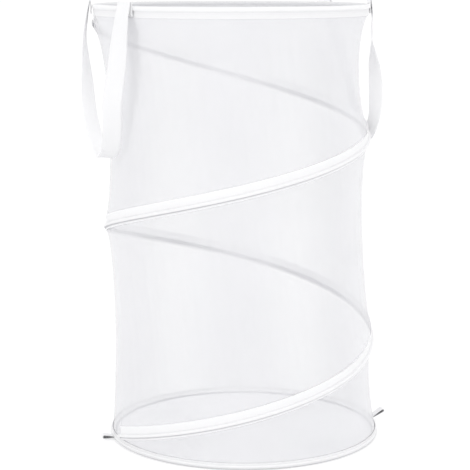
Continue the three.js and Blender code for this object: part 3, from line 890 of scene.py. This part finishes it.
def curve_points(controls, values, steps):
    """Points an equal distance apart on a centripetal Catmull-Rom curve through controls,
    and the controls' values there."""
    controls = np.array(controls, float)
    ends = (2 * controls[0] - controls[1], 2 * controls[-1] - controls[-2])
    padded = np.concatenate([[ends[0]], controls, [ends[1]]])
    share = np.linspace(0, 1, CURVE_STEPS, endpoint=False)[:, None]
    found = []
    for p0, p1, p2, p3 in zip(padded, padded[1:], padded[2:], padded[3:]):
        d0, d1, d2 = (np.linalg.norm(q - p) ** 0.5 for p, q in ((p0, p1), (p1, p2), (p2, p3)))
        t1 = ((p1 - p0) / d0 - (p2 - p0) / (d0 + d1) + (p2 - p1) / d1) * d1
        t2 = ((p2 - p1) / d1 - (p3 - p1) / (d1 + d2) + (p3 - p2) / d2) * d1
        c2 = -3 * p1 + 3 * p2 - 2 * t1 - t2
        c3 = 2 * p1 - 2 * p2 + t1 + t2
        found.append(p1 + t1 * share + c2 * share**2 + c3 * share**3)
    found = np.concatenate([*found, controls[-1:]])
    run = run_of(found)
    places = np.linspace(0, run[-1], steps + 1)
    return between(places, run, found), np.interp(places, run[::CURVE_STEPS], values)


def webbing_section():
    """Places across and through a strap, round its section. Its two sides match."""
    across = np.array(WEBBING_ACROSS) * WEBBING_WIDE
    through = np.array(WEBBING_THROUGH) * WEBBING_THICK
    return np.concatenate([across, across[::-1]]), np.concatenate([through, -through[::-1]])


def handle_name(side):
    """A handle's name, and its body's: side is -1 at -X and 1 at +X."""
    return "left_handle" if side < 0 else "right_handle"


def strap_path(strap):
    """Middle line of a handle's loop, from one end to the other, and its turn there."""
    controls = []
    for along, bow, drop, _ in strap:
        radius = STRAP_RADIUS + bow * HANDLE_BOW
        sideways = along * HALF_CHORD
        out = math.sqrt(radius**2 - sideways**2)
        controls.append((out, sideways, HEIGHT - drop * HANDLE_DROP))
    lead = np.sign(strap[0][0])
    first = (STRAP_ACROSS, lead * HALF_CHORD, TAB_TOP)
    last = (STRAP_ACROSS, -lead * HALF_CHORD, TAB_TOP)
    turns = np.radians([0, *(turn for _, _, _, turn in strap), 0])
    return curve_points([first, *controls, last], turns, STRAP_STEPS)


def strap_axes(point, along, turn):
    """Directions across a strap and out of its face, at a point on its middle line."""
    along = along / np.linalg.norm(along)
    out = np.array([point[0], point[1], 0]) / math.hypot(point[0], point[1])
    flat = np.cross(out, along)
    flat /= np.linalg.norm(flat)
    across = flat * math.cos(turn) + out * math.sin(turn)
    across -= along * across.dot(along)
    across /= np.linalg.norm(across)
    return across, np.cross(along, across)


def handle_loop(side, strap):
    """A handle's loop: flat against the rim at its ends, and turned on its way down and
    round."""
    path, turns = strap_path(strap)
    tangents = np.gradient(path, axis=0)
    tangents[0], tangents[-1] = (0, 0, -1), (0, 0, 1)
    across_places, through_places = webbing_section()
    rings = []
    for step, (point, along, turn) in enumerate(zip(path, tangents, turns)):
        share = step / STRAP_STEPS
        across, face = strap_axes(point, along, turn)
        rise = STRAP_CURL * math.sin(math.pi * share)
        curl = rise * (across_places / WEBBING_WIDE * 2) ** 2
        swing = STRAP_WAVE * math.sin(STRAP_WAVE_TURNS * share)
        wavy = swing * np.sin(across_places / STRAP_WAVE_WIDE)
        through = through_places + curl + wavy
        rings.append(point + across_places[:, None] * across + through[:, None] * face)
    rings = np.array(rings)
    if side < 0:
        rings[..., :2] *= -1
    name = handle_name(side)
    solid = swept(hanging(rings), shade=WEBBING_SHADE)
    piece = make_piece(f"{name}_webbing", name, "webbing", solid)
    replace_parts(piece, f"{name}_loop")
    anchor = hanging(np.array((side * STRAP_RADIUS, 0, HINGE_HEIGHT))) / METRE
    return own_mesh(piece)


def handle_end(side, end, place):
    """One end of a handle: the webbing sewn to the rim, its fold, bar tack and stitches."""
    name = handle_name(side)
    angle = (math.pi if side < 0 else 0) + end * HANDLE_ANGLE
    sewn_end(f"{name}_{place}", angle)
    strap_fold(f"{name}_{place}", angle)
    bar_tack(f"{name}_{place}", angle)
    box_stitches(f"{name}_{place}", angle)


def sewn_end(name, angle):
    """The webbing that is sewn flat to the outside of the rim."""
    across, through = webbing_section()
    rings = [
        around(angle + across / TAB_RADIUS, TAB_RADIUS + through, level)
        for level in TAB_FOOT + TAB_LEVELS
    ]
    piece = make_piece(f"{name}_end", "top", "webbing", swept(leaning(rings), shade=WEBBING_SHADE))
    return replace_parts(piece, f"{name}_tab")


def strap_fold(name, angle):
    """The webbing's fold over the rim, from its sewn end to the loop."""
    across, through = webbing_section()
    out = around(angle, 1.0, 0.0)
    sideways = np.array([-out[1], out[0], 0])
    reach = (STRAP_RADIUS - TAB_RADIUS) / 2
    rings = []
    for bend in np.linspace(0, math.pi, FOLD_STEPS):
        radial = TAB_RADIUS + reach - (reach + through) * math.cos(bend)
        rise = TAB_TOP + (reach + through) * math.sin(bend)
        rings.append(radial[:, None] * out + across[:, None] * sideways + rise[:, None] * (0, 0, 1))
    solid = swept(hanging(np.array(rings)), shade=WEBBING_SHADE)
    piece = make_piece(f"{name}_fold", None, "webbing", solid)
    start = hanging(out * TAB_RADIUS + (0, 0, TAB_TOP)) / METRE
    end = hanging(out * STRAP_RADIUS + (0, 0, TAB_TOP)) / METRE
    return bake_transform(piece)


def tab_surface(angle, sideways, height):
    """Points on the outside of a sewn end."""
    turned = angle + sideways / TAB_RADIUS
    return around(turned, TAB_RADIUS + WEBBING_THICK / 2 + TACK_OUT, height)


def bar_tack(name, angle):
    """Dense zigzag thread across the foot of a sewn end."""
    places = np.linspace(-TACK_WIDE / 2, TACK_WIDE / 2, TACK_POINTS)
    swing = np.where(np.arange(TACK_POINTS) % 2, TACK_TALL / 2, -TACK_TALL / 2)
    path = leaning(tab_surface(angle, places, TAB_FOOT + TACK_LIFT + swing))
    piece = thread_tube(f"{name}_bar_tack", path, angle)
    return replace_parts(piece, f"{name}_tack")


def thread_tube(name, path, angle):
    """A round thread along a path on the rim."""
    normal = around(angle, 1.0, 0.0)
    side = np.cross(np.gradient(path, axis=0), normal)
    side /= np.linalg.norm(side, axis=1, keepdims=True)
    bend = np.linspace(0, TURN, THREAD_SIDES, endpoint=False)
    rings = np.array([
        [point + TACK_RADIUS * (away * math.cos(b) + normal * math.sin(b)) for b in bend]
        for point, away in zip(path, side)
    ])
    return make_piece(name, "top", "thread", swept(rings))


def box_stitches(name, angle):
    """A square of stitches above the bar tack."""
    corners = [
        (-BOX_HALF, BOX_LOW), (BOX_HALF, BOX_LOW), (BOX_HALF, BOX_HIGH), (-BOX_HALF, BOX_HIGH),
        (-BOX_HALF, BOX_LOW),
    ]
    sides = [np.linspace(a, b, BOX_STEPS, endpoint=False) for a, b in zip(corners, corners[1:])]
    line = np.concatenate([*sides, corners[-1:]])
    path = leaning(tab_surface(angle, line[:, 0], line[:, 1]))
    normals = np.broadcast_to(around(angle, 1.0, 0.0), path.shape)
    return stitches(f"{name}_box_stitches", "top", path, normals, pitch=BOX_PITCH)


# Closure ties

# Painted shade of a tie's ribbon: its inner side, inside the loop, is painted far towards the
# ribbon's dark colour, and its outer side a little
TIE_OUTER_SHADE = 0.05
TIE_INNER_SHADE = 0.55


def tie_outline(length):
    """Outer and inner sides of a folded ribbon: places along it and up."""
    half = TIE_TALL / 2
    neck = length - half
    run = np.linspace(0, 1, TIE_STEPS)
    bend = np.linspace(-math.pi / 2, math.pi / 2, TIE_BEND_STEPS)

    def side(radius, foot):
        swell = foot + (radius - foot) * np.sin(run * math.pi / 2) ** TIE_SWELL
        lower = np.stack([run * neck, -swell], -1)
        curve = np.stack([neck + radius * np.cos(bend), radius * np.sin(bend)], -1)
        return np.concatenate([lower[:-1], curve, (lower * (1, -1))[-2::-1]])

    outer = side(half, TIE_MOUTH / 2 + TIE_THICK)
    inner = side(half - TIE_THICK, TIE_MOUTH / 2)
    return np.concatenate([outer, inner[::-1]])


def closure_tie(name, length, angle, tilt):
    """Ribbon folded into a small loop that stands out from the bottom binding."""
    outline = tie_outline(length)
    out = outline[:, 0] + CHANNEL_OUTER + SEAT_GAP
    reach = out * math.cos(tilt) - outline[:, 1] * math.sin(tilt)
    rise = out * math.sin(tilt) + outline[:, 1] * math.cos(tilt)
    outward = around(angle, 1.0, 0.0)
    sideways = np.array([-outward[1], outward[0], 0])
    rings = []
    for place in np.linspace(-TIE_WIDE / 2, TIE_WIDE / 2, TIE_WIDE_STEPS):
        sag = TIE_SAG * math.sin(place / 2 + length)
        height = BOTTOM_HOOP + rise + sag * reach / length
        flat = (HOOP_RADIUS + reach)[:, None] * outward + place * sideways
        rings.append(flat + height[:, None] * (0, 0, 1))
    count = len(outline) // 2
    shade = np.array([TIE_OUTER_SHADE] * count + [TIE_INNER_SHADE] * count)
    solid = swept(leaning(rings), shade=shade)
    piece = make_piece(f"{name}_ribbon", name, "ribbon", solid)
    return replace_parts(piece, name.replace("_tie", "_closure_tie"))


# Making of the hamper


def dress_node(node, slot):
    """Gives a piece that the frame already has the looks of a slot."""
    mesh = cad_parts[node].data
    mesh.materials.clear()
    mesh.materials.append(materials[slot])


rim_shade = binding_shade(RIM_CROWN_SHADE, RIM_INSIDE_SHADE)
base_shade = binding_shade(BASE_CROWN_SHADE, BASE_INSIDE_SHADE)

net_wall()
spiral_tape()
spiral_wire()
spiral_stitches()
hoop_binding("rim_tape", "top_binding", "top", TOP_HOOP, TOP_LIP, rim_shade)
hoop_binding("base_tape", "bottom_binding", "base", BOTTOM_HOOP, BOTTOM_LIP, base_shade)
hoop_stitches("rim_stitches", "top", HEIGHT - RIM_ROW, PLY_OUTER + ROW_LIFT)
hoop_stitches("rim_inner_stitches", "top", HEIGHT - RIM_ROW, -PLY_OUTER - ROW_LIFT)
hoop_stitches("base_stitches", "base", BOTTOM_LIP - BASE_ROW, PLY_OUTER + ROW_LIFT)
floor_cloth()
handle_loop(-1, LEFT_STRAP)
handle_loop(1, RIGHT_STRAP)
for side, end, place in HANDLE_ENDS:
    handle_end(side, end, place)
closure_tie("left_tie", *LEFT_TIE)
closure_tie("right_tie", *RIGHT_TIE)

for node in ("top_hoop_wire", "top_hoop_ferrule", "bottom_hoop_wire", "bottom_hoop_ferrule"):
    dress_node(node, "spring_steel")
for node in ("spiral_top_tip", "spiral_bottom_tip"):
    dress_node(node, "tip_plastic")


# Stage, light and camera, in metres

STAGE_SIZE = 80
STAGE_DROP = 0.0006
STAGE_TONES = (0.54, 0.56)
STAGE_GLOW = 0.46
WORLD_LIGHT = 1.03
# Name, place, target, size and power of each light
LIGHTS = [
    ("key", (-2.7, -0.6, 1.0), (0, 0, 0.35), 0.6, 9),
    ("fill", (0.9, -2.9, 1.0), (0, 0, 0.35), 1.8, 11),
    ("top", (0.2, -0.3, 3.0), (0, 0, 0.3), 2.4, 12),
]
CAMERA_PLACE = (-0.92743, -1.95766, 0.65971)
CAMERA_LOOK = (0.41646, 0.89311, -0.17064)
LENS_MM = 118.45
SENSOR_MM = 36
FAR_CLIP = 200


def aimed(look):
    """Turn of a light or camera that looks along a direction."""
    return Vector(look).to_track_quat("-Z", "Y").to_euler()


def stage_floor():
    """A wide pale floor that glows a little, so that it stays as white as the background."""
    bpy.ops.mesh.primitive_grid_add(x_subdivisions=2, y_subdivisions=2, size=STAGE_SIZE)
    floor = bpy.context.object
    floor.name = "studio_floor"
    floor.location = (0, 0, -STAGE_DROP)
    graph = Graph("studio_floor")
    graph.shaded(
        Base_Color=graph.grey(graph.spread(graph.noise(3.0), *STAGE_TONES)),
        Roughness=0.9,
        Emission_Color=(1, 1, 1, 1),
        Emission_Strength=STAGE_GLOW,
    )
    floor.data.materials.append(graph.material)


def area_light(name, place, target, size, power):
    """A soft square light that looks at a target."""
    data = bpy.data.lights.new(name, "AREA")
    data.size = size
    data.energy = power
    light = bpy.data.objects.new(name, data)
    light.location = place
    light.rotation_euler = aimed(Vector(target) - Vector(place))
    light.visible_camera = False
    bpy.context.scene.collection.objects.link(light)


def white_world():
    """Even white light from all round."""
    world = bpy.data.worlds.new("studio")
    world.use_nodes = True
    background = world.node_tree.nodes["Background"]
    background.inputs["Color"].default_value = (1, 1, 1, 1)
    background.inputs["Strength"].default_value = WORLD_LIGHT
    bpy.context.scene.world = world


def camera():
    """The photograph's point of view."""
    data = bpy.data.cameras.new("camera")
    data.sensor_width = SENSOR_MM
    data.lens = LENS_MM
    data.clip_end = FAR_CLIP
    made = bpy.data.objects.new("camera", data)
    made.location = CAMERA_PLACE
    made.rotation_euler = aimed(CAMERA_LOOK)
    bpy.context.scene.collection.objects.link(made)
    bpy.context.scene.camera = made


stage_floor()
white_world()
for light in LIGHTS:
    area_light(*light)
camera()
bpy.context.scene.view_settings.view_transform = "Standard"
